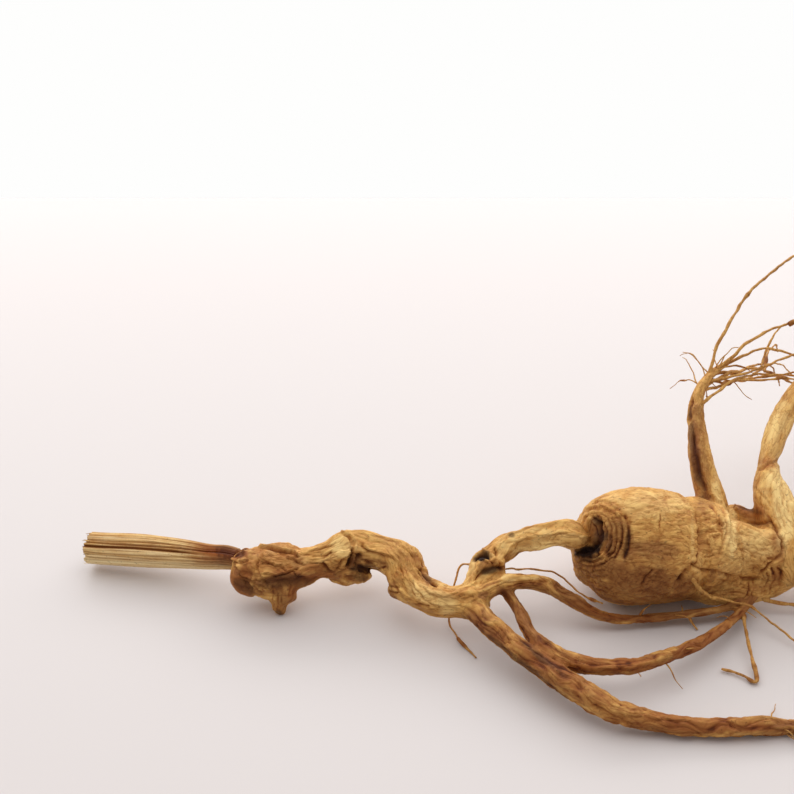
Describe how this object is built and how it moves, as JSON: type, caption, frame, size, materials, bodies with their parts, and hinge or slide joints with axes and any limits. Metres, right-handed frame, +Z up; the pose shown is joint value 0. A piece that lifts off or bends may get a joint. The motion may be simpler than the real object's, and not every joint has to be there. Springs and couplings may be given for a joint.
{
  "type": "dried ginseng root",
  "caption": "Whole dried ginseng root lying on its side: ringed swollen body, raised legs with a beard of rootlets, scarred rhizome with bud, and dry stalk stub.",
  "frame": {"origin": "on the table plane, under the middle of the whole part's box", "axes": "+X along the root from the cut stalk towards the tail, +Z up from the table, +Y towards the side where the two legs rise"},
  "size_m": [0.156, 0.081, 0.0399],
  "materials": {
    "dried_root_skin": "matte, wrinkled, dry",
    "dry_stalk": "matte, fibrous, dry"
  },
  "bodies": {
    "root": {"ginseng_root": "dried_root_skin", "stem_stub": "dry_stalk"}
  },
  "joints": []
}
